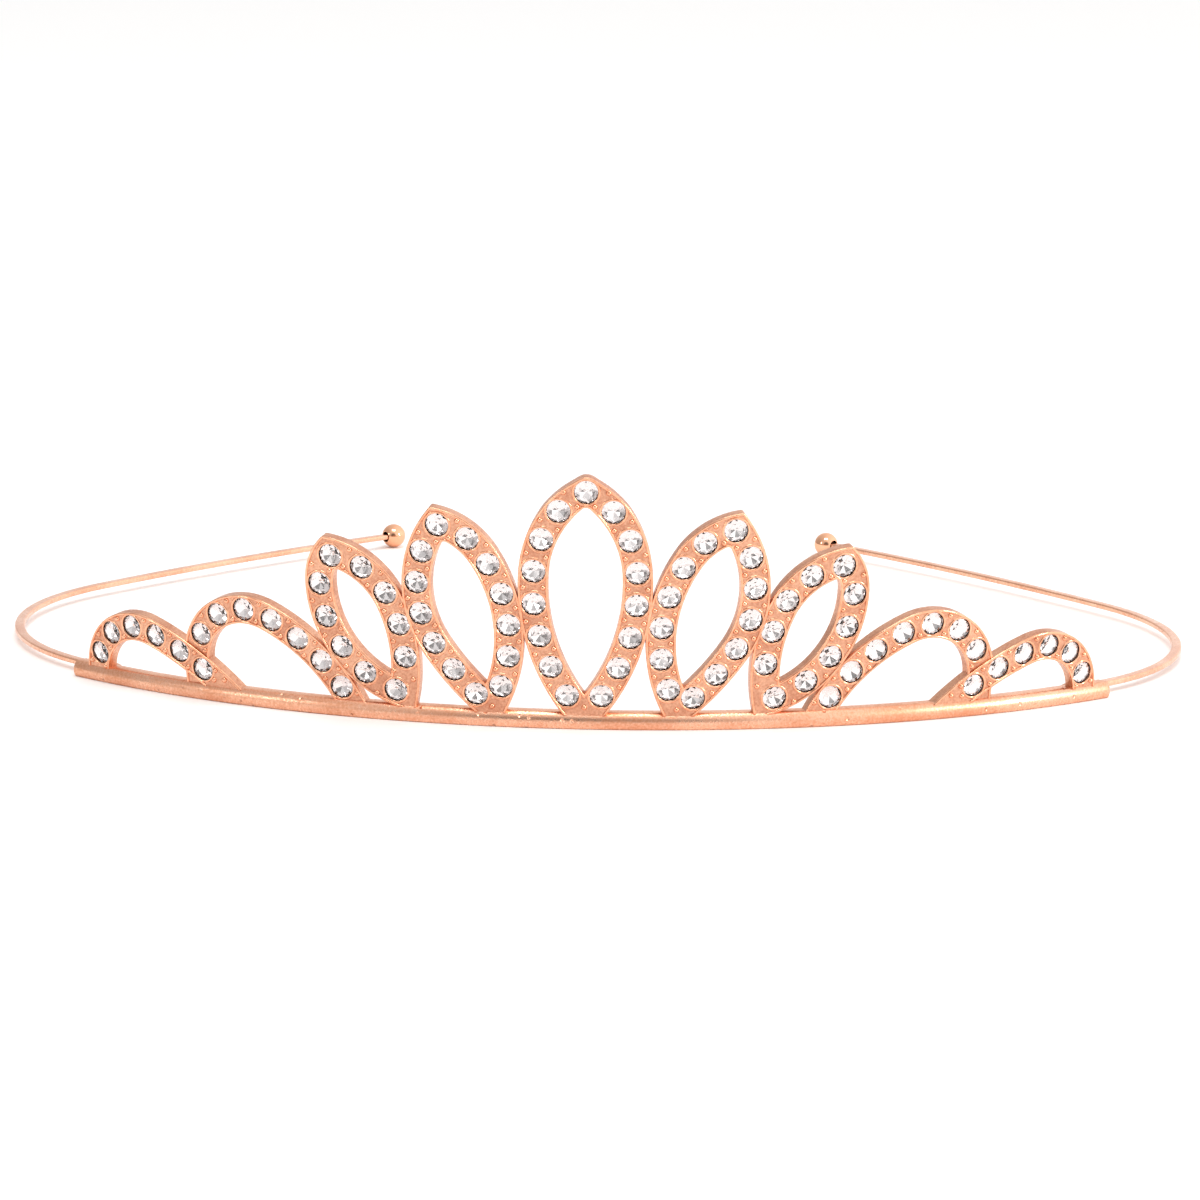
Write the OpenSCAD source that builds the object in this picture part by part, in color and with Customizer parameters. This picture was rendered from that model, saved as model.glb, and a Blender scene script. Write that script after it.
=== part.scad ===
// Princess crown headband: a cast openwork crown of nine stone-set petals and bows
// on a bar, with two flat wire arms soldered behind the bar and a ball on each arm's end.
// Millimetres, +Z up, front towards -Y. The origin lies on the surface that the
// headband stands on, midway between the widest points of the two arms.

/* [Crown] */
// Radius of the crown's face at the foot of the petals
panel_r = 90; // [84:1:96]
// Lean of the crown towards the front, in degrees
panel_lean = 9; // [6:1:11]
// Thickness of the crown
panel_t = 1.2; // [1.1:0.05:1.3]
// Width of the ribbon that each petal and bow is drawn with
ribbon_w = 3.2; // [3.1:0.05:3.4]
// Width of the raised rim along each edge of a ribbon
rim_w = 0.24; // [0.2:0.02:0.26]
// Height of the raised rim
rim_h = 0.12; // [0.08:0.01:0.13]
// Step from the face of one petal down to the face of the one behind it
layer_step = 0.16; // [0.15:0.01:0.2]
// Diameter of the raised pips between the stones
pip_d = 0.5; // [0.4:0.05:0.6]

/* [Bar] */
// Height of the bar
bar_h = 1.8; // [1.7:0.1:2.2]
// Reach of the bar's round front ahead of the crown's foot
bar_front = 0.45; // [0.4:0.05:0.7]
// Reach of the bar's flat back behind the crown's foot
bar_back = 1.5; // [1.45:0.05:1.8]
// Radius of the bar's round front, in section
bar_round_r = 1.3; // [1.2:0.05:1.6]
// Angle from the middle of the bar to each end
bar_reach = 39.8; // [38.5:0.1:41]

/* [Arms] */
// Width of the flat wire, across the head
wire_w = 1.15; // [1:0.05:1.2]
// Height of the flat wire
wire_h = 0.65; // [0.5:0.05:0.8]
// Radius of the wire's rounded corners
wire_corner = 0.15; // [0.1:0.01:0.2]
// Height of the wire's middle above the surface, behind the bar
wire_up = 1; // [0.9:0.05:1.1]
// Radius of the bend at the side of the head
side_r = 31.5; // [30:0.1:34]
// Angle on that bend where the straighter arm begins
side_end = 36.6; // [35:0.1:38]
// Radius of the straighter arm
arm_r = 275; // [200:1:320]
// Turn of the straighter arm, in degrees
arm_turn = 10.4; // [9:0.1:12]
// Diameter of the ball tips
ball_d = 3.1; // [2.8:0.1:3.6]

/* [Stones] */
// Diameter of the cut stones
stone_d = 2.5; // [2.3:0.05:2.5]
// Clearance between a stone and its seat, all round
stone_gap = 0.06; // [0.05:0.01:0.08]
// Width of the table across its corners, as a part of the stone's diameter
table_part = 0.56; // [0.5:0.01:0.62]
// Height of a stone's crown above its girdle
crown_h = 0.32; // [0.25:0.01:0.4]
// Depth of a stone's point below its girdle
point_h = 0.7; // [0.6:0.02:0.7]

/* [Hidden] */
$fn = 96;
metal = "#e9a680";
crystal = "#eef0f4";

// A side is two tangent arcs: a tight one at the tip and a long one down the leg.
// Columns: tight arc's centre across and up, tight radius, leg radius, angle where they join.
SIDE_X = 0;
SIDE_UP = 1;
SIDE_TIGHT = 2;
SIDE_LEG = 3;
SIDE_JOIN = 4;
center_side = [-6.7, 16.8, 12.2, 22.4, 4];
second_outer = [-7.4, 15.4, 12.2, 30, -33];
second_inner = [-4.3, 14.8, 8, 16.5, 33];
third_outer = [-0.6, 15.15, 5.4, 12.4, 2];
third_inner = [-5.1, 9.7, 9, 17.6, 22];
large_side = [-2.75, 4.35, 6.6, 19, 67];
small_side = [-1.4, 0.8, 6.4, 28, 71.4];

// A petal stands at an angle on the bar and is drawn flat there, across and up.
// Columns: angle, layer behind the front one, outer side, inner side, tip stone's place,
// stone pitch, stones below the tip on each side, places of the stones and of the pips in the foot.
PETAL_ANGLE = 0;
PETAL_LAYER = 1;
PETAL_OUTER = 2;
PETAL_INNER = 3;
PETAL_TIP = 4;
PETAL_PITCH = 5;
PETAL_COUNT = 6;
PETAL_FOOT = 7;
PETAL_FOOT_PIPS = 8;
center_petal = [0, 0, center_side, center_side, [0, 26.5], 3.65, 7, [], [[0, 2.45]]];
second_petal = [8.2, 0, second_outer, second_inner, [2.4, 22.35], 3.54, 6, [], [[-3.1, 2.25]]];
third_petal = [15, 1, third_outer, third_inner, [3.4, 18.1], 3.72, 4, [[-3.3, 3.4]],
    [[-3.15, 5.6], [-5.3, 4.75], [-1.7, 5.2], [-1.15, 2.9]]];

// A bow lies along the bar, with its tight end towards the bar's end.
// Columns: angle, layer, side, angle of its first stone on the tight arc, stone pitch, stones,
// places of the pips past the last stone.
BOW_ANGLE = 0;
BOW_LAYER = 1;
BOW_SIDE = 2;
BOW_START = 3;
BOW_PITCH = 4;
BOW_COUNT = 5;
BOW_FOOT_PIPS = 6;
large_bow = [22.2, 2, large_side, 151.5, 3.52, 7, [[-10.15, 2.6]]];
small_bow = [32.4, 1, small_side, 156, 3.43, 6, [[-9.15, 3.5], [-8.85, 2.35], [-10.2, 2.5]]];

LAYERS = 3;
sheet = 60;                  // larger than any outline
outline_step = 1.6;          // longest straight step of an outline round its arcs
outline_turn = 16;           // and the largest turn of one, in degrees
drawn_depth = 3;             // reach of an outline through the curved crown
crown_top = 32;              // above the tallest petal
foot_up = 1;                 // foot of the petals, inside the bar
// Point of the centre petal: straight flanks at a slope, in degrees, and a round nose
nose_up = 26.65;
nose_r = 1.5;
nose_slope = 32.5;
hole_nose_up = 23.81;        // the same for the top of its opening
hole_nose_r = 0.9;
hole_nose_slope = 43.7;
open_up = 1.5;               // how far a cut reaches out of the crown's face

bar_round_up = 0.75;         // height of the bar's foremost line
wire_clear = 0.05;           // clearance from the wire to the bar's back, beside the solder
wire_r = panel_r - bar_back - wire_clear - wire_w / 2;
wire_start = 36.4;           // angles where the wire begins and leaves the bar's curve
wire_leave = 40.6;
bar_y = (wire_r - side_r) * cos(wire_leave);
side_x = (wire_r - side_r) * sin(wire_leave);
arm_x = side_x + (side_r - arm_r) * cos(side_end);
arm_y = (side_r - arm_r) * sin(side_end);
arm_end = side_end + arm_turn;
tip_x = arm_x + arm_r * cos(arm_end);
tip_y = arm_y + arm_r * sin(arm_end);
leave_y = bar_y - wire_r * cos(wire_leave);
wire_tilt = asin((ball_d / 2 - wire_up) / (tip_y - leave_y));

wire_step = 2.2;             // length of an arm's straight steps

solder_angle = 38.4;         // place of the solder that holds a wire's end
solder_long = 3.4;
solder_wall = 0.15;
solder_low = 0.4;
solder_high = 1.6;
gate_w = 3.2;                // what is left of the casting's gate, behind the bar
gate_deep = 0.8;
gate_low = 0.1;
gate_high = 1.3;

girdle_h = 0.05;
girdle_drop = 0.2;           // depth of a stone's girdle below the ribbon's face
seat_deep = 1;
pip_sunk = 0.2;
pip_h = 0.16;
PIP_SIDES = 8;
pip_out = ribbon_w / 2 - rim_w - pip_d / 2 - 0.06;
bore_d = 1.36;               // bore that a wire's end sits in, in a ball
bore_past = 0.1;

MAINS = 8;                   // main facets of a stone
main_turn = 360 / MAINS;
star_part = 0.55;            // star facets' reach from the table to the girdle
lower_part = 0.3;            // lower facets' reach from the girdle to the point

function on_circle(center, r, a) = [center[0] + r * cos(a), center[1] + r * sin(a)];

function tight_center(side) = [side[SIDE_X], side[SIDE_UP]];

function leg_center(side) =
    on_circle(tight_center(side), side[SIDE_TIGHT] - side[SIDE_LEG], side[SIDE_JOIN]);

function arc_turn(r, length) = length / r * 180 / PI;

// Points along an arc, one outline step apart or less
function arc_points(center, r, from, to) =
    let (turn = abs(to - from), steps = ceil(max(turn * PI / 180 * r / outline_step, turn / outline_turn)))
    [for (i = [0:steps]) on_circle(center, r, from + (to - from) * i / steps)];

// Angle on a leg arc where it passes below the foot, or its lowest point
function leg_end(side, grow) =
    asin(max(-1, (foot_up - 1 - leg_center(side)[1]) / (side[SIDE_LEG] + grow)));

// Line at a distance from a side's middle line, from an angle on its tight arc to the foot
function side_line(side, grow, start) = concat(
    arc_points(tight_center(side), side[SIDE_TIGHT] + grow, start, side[SIDE_JOIN]),
    skip_first(arc_points(leg_center(side), side[SIDE_LEG] + grow,
        side[SIDE_JOIN], leg_end(side, grow))));

function skip_first(list) = [for (i = [1:len(list) - 1]) list[i]];

// Point at a length down a side's middle line, from an angle on its tight arc
function side_point(side, start, length, out = 0) =
    let (tight_len = side[SIDE_TIGHT] * (start - side[SIDE_JOIN]) * PI / 180)
    length < tight_len
        ? on_circle(tight_center(side), side[SIDE_TIGHT] + out,
            start - arc_turn(side[SIDE_TIGHT], length))
        : on_circle(leg_center(side), side[SIDE_LEG] + out,
            side[SIDE_JOIN] - arc_turn(side[SIDE_LEG], length - tight_len));

function flip(p) = [-p[0], p[1]];

function outer_point(petal, steps, out = 0) =
    let (side = petal[PETAL_OUTER], tip = petal[PETAL_TIP])
    side_point(side, atan2(tip[1] - side[SIDE_UP], tip[0] - side[SIDE_X]),
        steps * petal[PETAL_PITCH], out);

function inner_point(petal, steps, out = 0) =
    let (side = petal[PETAL_INNER], tip = petal[PETAL_TIP])
    flip(side_point(side, atan2(tip[1] - side[SIDE_UP], -tip[0] - side[SIDE_X]),
        steps * petal[PETAL_PITCH], out));

function bow_point(bow, steps, out = 0) =
    flip(side_point(bow[BOW_SIDE], bow[BOW_START], steps * bow[BOW_PITCH], out));

// Places of a petal's stones: tip, outer side, inner side, foot
function petal_spots(petal) = concat(
    [petal[PETAL_TIP]],
    [for (i = [1:petal[PETAL_COUNT]]) outer_point(petal, i)],
    [for (i = [1:petal[PETAL_COUNT]]) inner_point(petal, i)],
    petal[PETAL_FOOT]);

function bow_spots(bow) = [for (i = [0:bow[BOW_COUNT] - 1]) bow_point(bow, i)];

// Places of the pips, two in each gap between stones
function petal_pips(petal) = concat(
    [for (i = [1:petal[PETAL_COUNT]], out = [-pip_out, pip_out]) outer_point(petal, i - 0.5, out)],
    [for (i = [1:petal[PETAL_COUNT]], out = [-pip_out, pip_out]) inner_point(petal, i - 0.5, out)],
    petal[PETAL_FOOT_PIPS]);

function bow_pips(bow) = concat(
    [for (i = [1:bow[BOW_COUNT] - 1], out = [-pip_out, pip_out]) bow_point(bow, i - 0.5, out)],
    bow[BOW_FOOT_PIPS]);

// Section point of the leaning crown, in radius and height: up its slope, out from its face
function slope_point(up, out) = [panel_r + up * sin(panel_lean) + out * cos(panel_lean),
    up * cos(panel_lean) - out * sin(panel_lean)];

module both() {
    children();
    mirror([1, 0, 0]) children();
}

// Frame on the crown's face: X across, Y up the slope, Z out of the face
module on_face(angle) {
    translate([0, bar_y, 0])
        rotate([0, 0, angle])
            translate([0, -panel_r, 0])
                rotate([90 + panel_lean, 0, 0])
                    children();
}

module at_spot(angle, layer, spot) {
    turn = asin(spot[0] / (panel_r + spot[1] * sin(panel_lean)));
    on_face(angle + turn) translate([0, spot[1], -layer * layer_step]) children();
}

module at_petal_spots(petal, spots) {
    for (spot = spots) at_spot(petal[PETAL_ANGLE], petal[PETAL_LAYER], spot) children();
}

module at_bow_spots(bow, spots) {
    for (spot = spots) at_spot(bow[BOW_ANGLE], bow[BOW_LAYER], spot) children();
}

// Ring sector about the bar's centre, from a section in radius and height
module bar_sector(from, to) {
    translate([0, bar_y, 0])
        rotate([0, 0, from - 90])
            rotate_extrude(angle = to - from, $fn = 720)
                children();
}

module crown_shell(back, face) {
    bar_sector(-bar_reach - 1, bar_reach + 1)
        polygon([slope_point(0, back), slope_point(0, face),
            slope_point(crown_top, face), slope_point(crown_top, back)]);
}

// Everything on the inner side of a petal's side
module side_fill(side, grow) {
    line = side_line(side, grow, 90);
    polygon(concat(line, [[-sheet, line[len(line) - 1][1]], [-sheet, line[0][1]]]));
}

module above_foot() {
    translate([-sheet, foot_up]) square([2 * sheet, sheet]);
}

module petal_fill(petal, grow) {
    intersection() {
        side_fill(petal[PETAL_OUTER], grow);
        mirror([1, 0]) side_fill(petal[PETAL_INNER], grow);
        above_foot();
    }
}

// Everything below a round nose and its two straight flanks
module under_nose(up, r, slope) {
    nose = arc_points([0, up], r, 90 - slope, 90 + slope);
    flank = on_circle(nose[0], 2 * sheet, -slope);
    polygon(concat(nose, [flip(flank), flank]));
}

module center_fill(grow) {
    intersection() {
        petal_fill(center_petal, grow);
        if (grow > 0) under_nose(nose_up, nose_r + grow - ribbon_w / 2, nose_slope);
        else under_nose(hole_nose_up, hole_nose_r + grow + ribbon_w / 2, hole_nose_slope);
    }
}

module bow_fill(bow, grow) {
    side = bow[BOW_SIDE];
    edge_x = side[SIDE_X] - side[SIDE_TIGHT] - grow;
    mirror([1, 0]) intersection() {
        polygon(concat(side_line(side, grow, 180), [[edge_x, foot_up - 1]]));
        above_foot();
    }
}

module through_crown(angle) {
    on_face(angle) translate([0, 0, -drawn_depth]) linear_extrude(2 * drawn_depth) children();
}

// Ribbons of one layer, half as wide as stated on each side of their middle lines
module layer_ribbons(layer, half) {
    if (layer == center_petal[PETAL_LAYER]) through_crown(0) difference() {
        center_fill(half);
        center_fill(-half);
    }
    both() {
        for (petal = [second_petal, third_petal]) if (petal[PETAL_LAYER] == layer)
            through_crown(petal[PETAL_ANGLE]) difference() {
                petal_fill(petal, half);
                petal_fill(petal, -half);
            }
        for (bow = [large_bow, small_bow]) if (bow[BOW_LAYER] == layer)
            through_crown(bow[BOW_ANGLE]) difference() {
                bow_fill(bow, half);
                bow_fill(bow, -half);
            }
    }
}

// Ribbons with a raised rim along each edge
module cast_layer(layer) {
    drop = layer * layer_step;
    difference() {
        intersection() {
            crown_shell(-panel_t - drop, rim_h - drop);
            layer_ribbons(layer, ribbon_w / 2);
        }
        intersection() {
            crown_shell(-drop, open_up);
            layer_ribbons(layer, ribbon_w / 2 - rim_w);
        }
    }
}

module at_stones() {
    at_petal_spots(center_petal, petal_spots(center_petal)) children();
    both() {
        at_petal_spots(second_petal, petal_spots(second_petal)) children();
        at_petal_spots(third_petal, petal_spots(third_petal)) children();
        at_bow_spots(large_bow, bow_spots(large_bow)) children();
        at_bow_spots(small_bow, bow_spots(small_bow)) children();
    }
}

module seats() {
    at_stones() translate([0, 0, -seat_deep])
        cylinder(d = stone_d + 2 * stone_gap, h = seat_deep + open_up);
}

module pip() {
    translate([0, 0, -pip_sunk]) cylinder(d = pip_d, h = pip_sunk + pip_h, $fn = PIP_SIDES);
}

module pips() {
    at_petal_spots(center_petal, petal_pips(center_petal)) pip();
    both() {
        at_petal_spots(second_petal, petal_pips(second_petal)) pip();
        at_petal_spots(third_petal, petal_pips(third_petal)) pip();
        at_bow_spots(large_bow, bow_pips(large_bow)) pip();
        at_bow_spots(small_bow, bow_pips(small_bow)) pip();
    }
}

module bar() {
    bar_sector(-bar_reach, bar_reach) intersection() {
        translate([panel_r - bar_back, 0]) square([bar_back + bar_front, bar_h]);
        union() {
            translate([panel_r + bar_front - bar_round_r, bar_round_up]) circle(bar_round_r);
            translate([panel_r - bar_back, 0]) square([bar_back + bar_front - bar_round_r, bar_h]);
        }
    }
}

module gate_stub() {
    translate([-gate_w / 2, bar_y - panel_r + bar_back - gate_deep, gate_low])
        cube([gate_w, 2 * gate_deep, gate_high - gate_low]);
}

module solder() {
    deep = wire_w + 2 * solder_wall + wire_clear;
    translate([0, bar_y, 0]) rotate([0, 0, solder_angle])
        translate([-solder_long / 2, -wire_r - deep + wire_w / 2 + solder_wall, solder_low])
            cube([solder_long, deep, solder_high - solder_low]);
}

// The arms rise a little from the bar to the middle of the balls
module on_arms() {
    translate([0, leave_y, wire_up]) rotate([wire_tilt, 0, 0]) translate([0, -leave_y, 0]) children();
}

// Middle line of an arm: behind the bar, round the side, then the straighter part.
// Each place holds a point and the angle that points out of the band there.
function arm_run(center, r, from, to) =
    let (steps = ceil(abs(to - from) * PI / 180 * r / wire_step))
    [for (i = [1:steps]) let (a = from + (to - from) * i / steps) [on_circle(center, r, a), a]];

function arm_places() = concat(
    [[on_circle([0, bar_y], wire_r, wire_start - 90), wire_start - 90]],
    arm_run([0, bar_y], wire_r, wire_start - 90, wire_leave - 90),
    arm_run([side_x, 0], side_r, wire_leave - 90, side_end),
    arm_run([arm_x, arm_y], arm_r, side_end, arm_end));

// Corners of the flat wire's section: out of the band, and up
function wire_corners() = let (x = wire_w / 2, z = wire_h / 2, c = wire_corner) [
    [x, c - z], [x, z - c], [x - c, z], [c - x, z],
    [-x, z - c], [-x, c - z], [c - x, -z], [x - c, -z]];

module arm() {
    places = arm_places();
    corners = wire_corners();
    sides = len(corners);
    last = (len(places) - 1) * sides;
    on_arms() polyhedron(
        points = [for (place = places, corner = corners)
            concat(on_circle(place[0], corner[0], place[1]), corner[1])],
        faces = concat(
            [[for (j = [sides - 1:-1:0]) j]],
            [for (i = [0:sides:last - sides], j = [0:sides - 1])
                [i + j, i + (j + 1) % sides, i + sides + (j + 1) % sides, i + sides + j]],
            [[for (j = [0:sides - 1]) last + j]]));
}

module crown_band() {
    color(metal) {
        difference() {
            union() {
                for (layer = [0:LAYERS - 1]) cast_layer(layer);
                bar();
                gate_stub();
            }
            seats();
        }
        pips();
        both() {
            solder();
            arm();
        }
    }
}

module ball_tip() {
    color(metal) on_arms() translate([tip_x, tip_y, 0]) difference() {
        sphere(d = ball_d);
        rotate([90, 0, arm_end]) translate([0, 0, -bore_past]) cylinder(d = bore_d, h = ball_d);
    }
}

// Round cut: table, star, main and upper facets, girdle, and main and lower facets to a point
module stone() {
    r = stone_d / 2;
    table_r = r * table_part;
    star_r = table_r + (r - table_r) * star_part;
    star_up = crown_h * (r - star_r * cos(main_turn / 2)) / (r - table_r);
    lower_r = r * (1 - lower_part);
    lower_up = -girdle_h - point_h * (r - lower_r * cos(main_turn / 2)) / r;
    function ring(count, radius, up, start) =
        [for (i = [0:count - 1]) concat(on_circle([0, 0], radius, start + i * 360 / count), up)];
    function table(k) = k % MAINS;
    function star(k) = MAINS + (k + MAINS) % MAINS;
    function girdle(j) = 2 * MAINS + j % (2 * MAINS);
    function girdle_low(j) = 4 * MAINS + j % (2 * MAINS);
    function lower(k) = 6 * MAINS + (k + MAINS) % MAINS;
    point = 7 * MAINS;
    polyhedron(
        points = concat(
            ring(MAINS, table_r, crown_h, 0),
            ring(MAINS, star_r, star_up, main_turn / 2),
            ring(2 * MAINS, r, 0, 0),
            ring(2 * MAINS, r, -girdle_h, 0),
            ring(MAINS, lower_r, lower_up, main_turn / 2),
            [[0, 0, -girdle_h - point_h]]),
        faces = concat(
            [[for (k = [MAINS - 1:-1:0]) table(k)]],
            [for (k = [0:MAINS - 1]) [table(k), table(k + 1), star(k)]],
            [for (k = [0:MAINS - 1]) [table(k), star(k), girdle(2 * k), star(k - 1)]],
            [for (k = [0:MAINS - 1]) [star(k), girdle(2 * k + 1), girdle(2 * k)]],
            [for (k = [0:MAINS - 1]) [star(k), girdle(2 * k + 2), girdle(2 * k + 1)]],
            [for (j = [0:2 * MAINS - 1])
                [girdle(j), girdle(j + 1), girdle_low(j + 1), girdle_low(j)]],
            [for (k = [0:MAINS - 1]) [point, lower(k - 1), girdle_low(2 * k), lower(k)]],
            [for (k = [0:MAINS - 1]) [lower(k), girdle_low(2 * k), girdle_low(2 * k + 1)]],
            [for (k = [0:MAINS - 1]) [lower(k), girdle_low(2 * k + 1), girdle_low(2 * k + 2)]]));
}

module petal_stones(petal) {
    color(crystal) at_petal_spots(petal, petal_spots(petal)) translate([0, 0, -girdle_drop]) stone();
}

module bow_stones(bow) {
    color(crystal) at_bow_spots(bow, bow_spots(bow)) translate([0, 0, -girdle_drop]) stone();
}

module on_left() {
    mirror([1, 0, 0]) children();
}

crown_band();
on_left() ball_tip();  // ball_tip_left
ball_tip();  // ball_tip_right
petal_stones(center_petal);  // stones_center
on_left() petal_stones(second_petal);  // stones_second_left
petal_stones(second_petal);  // stones_second_right
on_left() petal_stones(third_petal);  // stones_third_left
petal_stones(third_petal);  // stones_third_right
on_left() bow_stones(large_bow);  // stones_large_bow_left
bow_stones(large_bow);  // stones_large_bow_right
on_left() bow_stones(small_bow);  // stones_small_bow_left
bow_stones(small_bow);  // stones_small_bow_right
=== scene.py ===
"""Princess crown headband: a rose-gold crown of stone-set petals and bows on a bar, with two wire arms."""

import math
import random
from collections import namedtuple

import bmesh
import bpy
from mathutils import Matrix, Vector


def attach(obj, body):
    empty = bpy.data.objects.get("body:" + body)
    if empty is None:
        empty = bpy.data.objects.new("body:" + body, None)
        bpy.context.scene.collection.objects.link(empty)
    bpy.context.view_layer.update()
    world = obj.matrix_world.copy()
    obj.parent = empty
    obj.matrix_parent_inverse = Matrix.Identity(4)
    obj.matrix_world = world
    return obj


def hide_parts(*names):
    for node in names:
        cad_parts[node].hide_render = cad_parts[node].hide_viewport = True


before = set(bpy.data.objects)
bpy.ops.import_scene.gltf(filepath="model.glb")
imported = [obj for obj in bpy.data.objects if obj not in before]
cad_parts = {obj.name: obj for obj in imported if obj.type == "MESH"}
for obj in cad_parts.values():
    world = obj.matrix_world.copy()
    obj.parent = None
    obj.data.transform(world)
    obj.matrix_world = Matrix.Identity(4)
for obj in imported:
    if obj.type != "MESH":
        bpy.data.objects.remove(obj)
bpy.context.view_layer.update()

# Crown
# One zinc-alloy casting, barrelled and plated rose gold: a round-topped centre petal, two pairs of pointed
# petals, and a large and a small bow on each side. The ribbons are seated for stones and lap at their feet.
MM = 0.001
FACE_R = 90.0               # radius of the crown's face at its foot
LEAN = math.radians(9)
PLATE = 1.2                 # thickness of the casting
HALF = 1.6                  # half of a ribbon's width
STEP_BACK = 0.16            # from one layer's face down to the next
SEAT_R = 1.31
SEAT_DEEP = 1.0
SEAT_SIDES = 40
COARSE = 0.3                # longest steps along the large arcs and along the small ones
FINE = 0.15
FOOT_UP = 1.0               # foot of the petals, inside the bar
NOSE_UP = 26.65             # round point of the centre petal, above two straight flanks
NOSE_R = 1.5
NOSE_SLOPE = 32.5
SHOULDER_TURN = 8.0         # of the arc under each flank that is rounded off with it
TIP_ROUND = 0.25            # round of the other petals' points
HOLE_ROUNDS = {"center": 0.6, "second": 0.4, "third": 0.4}
LEAST_ROUND = 0.05
EDGE_ROUND = 0.07
BAR_BACK = 1.5              # reach of the bar behind the crown's foot
WIRE_W = 1.15
WIRE_CLEAR = 0.05
WIRE_R = FACE_R - BAR_BACK - WIRE_CLEAR - WIRE_W / 2
SIDE_BEND_R = 31.5          # bend of an arm at the side of the head
LEAVE = 40.6                # angle where an arm leaves the bar's curve, from the crown's middle
BAR_Y = (WIRE_R - SIDE_BEND_R) * math.cos(math.radians(LEAVE))

# A side's middle line is a tight arc about (x, up) and the arc of its leg, of these radii, which meet at an
# angle. Drop is how far a part lies behind the front layer, and pitch the way from one stone to the next.
Side = namedtuple("Side", "x up tight leg join")
Petal = namedtuple("Petal", "name angle drop outer inner tip pitch count foot foot_pips")
Bow = namedtuple("Bow", "name angle drop side start pitch count first_pips foot_pips")
CENTER_SIDE = Side(-6.7, 16.8, 12.2, 22.4, 4)
PETALS = (
    Petal("center", 0, 0.0, CENTER_SIDE, CENTER_SIDE, (0, 26.5), 3.65, 7, None, [(0, 2.45)]),
    Petal("second", 8.2, 0.03, Side(-7.4, 15.4, 12.2, 30, -33), Side(-4.3, 14.8, 8, 16.5, 33),
          (2.4, 22.35), 3.54, 6, None, [(-3.1, 2.25)]),
    Petal("third", 15, STEP_BACK, Side(-0.6, 15.15, 5.4, 12.4, 2), Side(-5.1, 9.7, 9, 17.6, 22),
          (3.4, 18.1), 3.72, 4, (-3.3, 3.4), [(-3.15, 5.6), (-5.3, 4.75), (-1.7, 5.2), (-1.15, 2.9)]),
)
BOWS = (
    Bow("large_bow", 22.2, 2 * STEP_BACK, Side(-2.75, 4.35, 6.6, 19, 67), 151.5, 3.52, 7, -0.5,
        [(-10.15, 2.6)]),
    Bow("small_bow", 32.4, STEP_BACK, Side(-1.4, 0.8, 6.4, 28, 71.4), 156, 3.43, 6, -0.4,
        [(-9.15, 3.5), (-8.85, 2.35), (-10.2, 2.5)]),
)


def on_circle(center, r, angle):
    a = math.radians(angle)
    return (center[0] + r * math.cos(a), center[1] + r * math.sin(a))


def angle_at(center, point):
    return math.degrees(math.atan2(point[1] - center[1], point[0] - center[0]))


def tight_center(side):
    return (side.x, side.up)


def leg_center(side):
    return on_circle(tight_center(side), side.tight - side.leg, side.join)


def flip(point):
    return (-point[0], point[1])


def arc(center, r, start, end, step=COARSE):
    count = max(2, math.ceil(abs(math.radians(end - start)) * r / step))
    return [on_circle(center, r, start + (end - start) * i / count) for i in range(count + 1)]


def crossing(center_a, r_a, center_b, r_b, upper):
    """Where two circles cross: the upper or the lower of the two points, or None."""
    a, b = Vector(center_a), Vector(center_b)
    gap = (b - a).length
    along = (r_a ** 2 - r_b ** 2 + gap ** 2) / (2 * gap)
    if abs(along) > r_a:
        return None
    across = math.sqrt(r_a ** 2 - along ** 2)
    unit = (b - a) / gap
    ends = [a + unit * along + Vector((-unit.y, unit.x)) * across * s for s in (-1, 1)]
    return tuple((max if upper else min)(ends, key=lambda p: p.y))


def side_line(side, grow, top, low):
    """Line at a distance from a side's middle line, from its top point to its low one, or to the foot."""
    tight, leg = tight_center(side), leg_center(side)
    foot = math.degrees(math.asin(max(-1, (FOOT_UP - leg[1]) / (side.leg + grow))))
    end = foot if low is None else angle_at(leg, low)
    return (arc(tight, side.tight + grow, angle_at(tight, top), side.join)
            + arc(leg, side.leg + grow, side.join, end)[1:])


def exit_point(point, angle, center, r):
    """Where a line that leaves a point at an angle passes out of a circle."""
    along = Vector((math.cos(math.radians(angle)), math.sin(math.radians(angle))))
    start = Vector(point) - Vector(center)
    reach = -start.dot(along)
    reach += math.sqrt(max(0, reach ** 2 - start.length_squared + r ** 2))
    return tuple(Vector(point) + along * reach)


def shoulder(start, corner, end, count=8):
    """Smooth curve from one point to another that leans towards a corner."""
    pull = [Vector(p) for p in (start, corner, end)]
    return [tuple(pull[0] * (1 - t) ** 2 + pull[1] * 2 * t * (1 - t) + pull[2] * t ** 2)
            for t in (i / count for i in range(count + 1))]


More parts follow.
